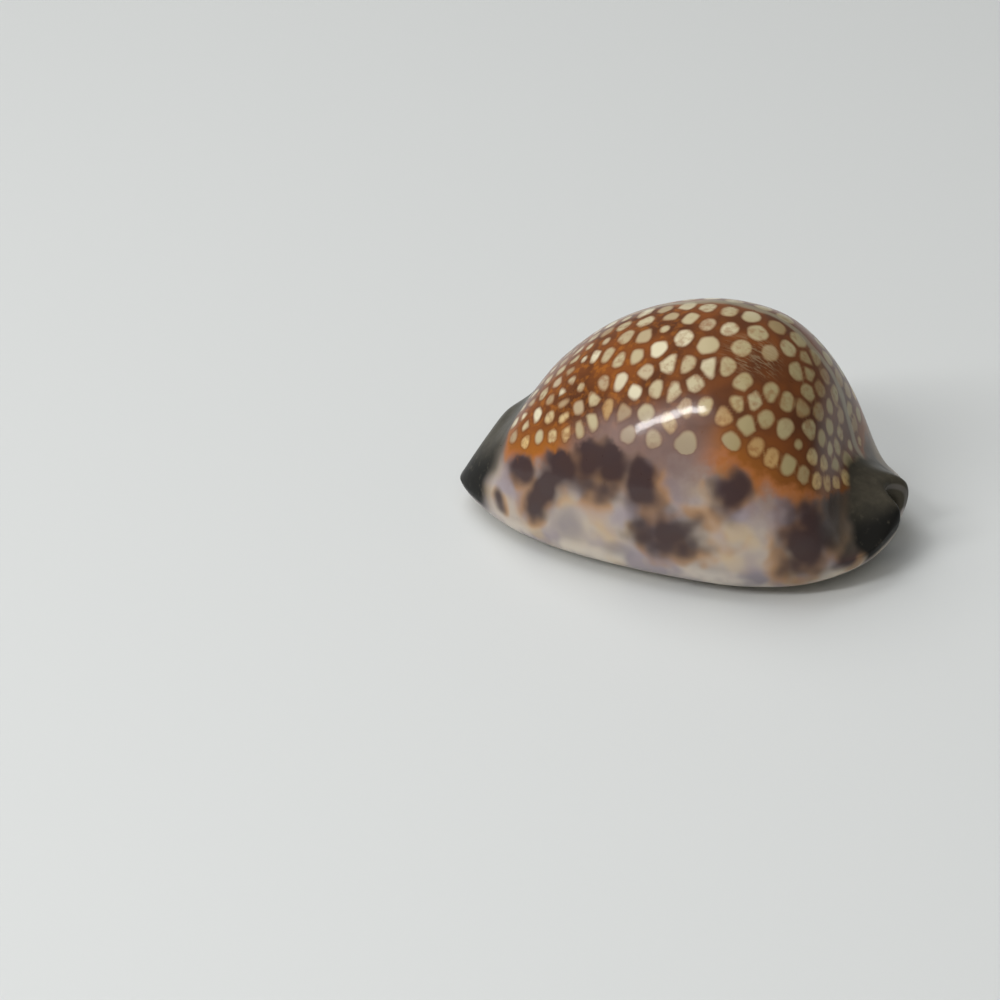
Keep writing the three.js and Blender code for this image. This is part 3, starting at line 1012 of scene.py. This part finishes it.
def stage_camera(stage):
    """A camera that looks past the shell, upright as if it looked straight at it."""
    back = towards(math.degrees(stage.azimuth), math.degrees(stage.elevation))
    right = Vector((math.cos(stage.azimuth), math.sin(stage.azimuth), 0))
    up = back.cross(right)
    middle = Vector((0, 0, AIM_HEIGHT))
    eye = middle + back * stage.distance
    aim = middle - right * AIM_LEFT - up * AIM_DOWN
    bpy.ops.object.camera_add(location=eye)
    camera = bpy.context.object
    out = (eye - aim).normalized()
    side = up.cross(out).normalized()
    camera.rotation_euler = Matrix((side, out.cross(side), out)).transposed().to_euler()
    camera.data.lens = stage.lens
    camera.data.clip_start = 0.01
    bpy.context.scene.camera = camera


# ---- operators, panel and registration -----------------------------------------------------
class COWRIE_OT_shell(bpy.types.Operator):
    """Model the shell and give it its markings"""
    bl_idname = "cowrie.shell"
    bl_label = "Cowrie shell"

    def execute(self, context):
        scene = context.scene
        shape = scene.cowrie_shape
        last_row = len(row_shares(shape.teeth)) - 1
        shell = rolled_sheet(shape)
        raise_teeth(shell, shape)
        close_seam(shell)
        close_canal(shell, 0, 0.0)
        close_canal(shell, last_row, 1.0)
        smooth_over(shell, shape.rounding)
        stand_on_floor(shell)
        lay_spots(shell, shape.seed)
        shell.data.materials.clear()
        shell.data.materials.append(shell_material(scene.cowrie_colours, scene.cowrie_gloss, shape.teeth))
        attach(shell, "root")
        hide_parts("shell")
        return {"FINISHED"}


class COWRIE_OT_stage(bpy.types.Operator):
    """Add the floor, the lights and the camera"""
    bl_idname = "cowrie.stage"
    bl_label = "Stage"

    def execute(self, context):
        floor_sheet(context.scene.cowrie_stage.floor)
        stage_lights()
        stage_camera(context.scene.cowrie_stage)
        context.scene.view_settings.view_transform = "Standard"
        return {"FINISHED"}


class COWRIE_PT_panel(bpy.types.Panel):
    """The shell's and the stage's settings"""
    bl_idname = "COWRIE_PT_panel"
    bl_label = "Cowrie shell"
    bl_space_type = "VIEW_3D"
    bl_region_type = "UI"
    bl_category = "Cowrie"

    def draw(self, context):
        self.rows(context.scene, "cowrie_shape", "cowrie_colours", "cowrie_gloss")
        self.layout.operator(COWRIE_OT_shell.bl_idname)
        self.rows(context.scene, "cowrie_stage")
        self.layout.operator(COWRIE_OT_stage.bl_idname)

    def rows(self, scene, *groups):
        for group_name in groups:
            for name in SETTINGS[group_name].__annotations__:
                self.layout.prop(getattr(scene, group_name), name)


SETTINGS = {
    "cowrie_shape": CowrieShape, "cowrie_colours": CowrieColours, "cowrie_gloss": CowrieGloss,
    "cowrie_stage": CowrieStage,
}
CLASSES = (*SETTINGS.values(), COWRIE_OT_shell, COWRIE_OT_stage, COWRIE_PT_panel)


def register():
    for cls in CLASSES:
        bpy.utils.register_class(cls)
    for name, cls in SETTINGS.items():
        setattr(bpy.types.Scene, name, PointerProperty(type=cls))


def unregister():
    for name in SETTINGS:
        delattr(bpy.types.Scene, name)
    for cls in reversed(CLASSES):
        bpy.utils.unregister_class(cls)


def main():
    register()
    bpy.ops.cowrie.shell()
    bpy.ops.cowrie.stage()


if __name__ == "__main__":
    main()
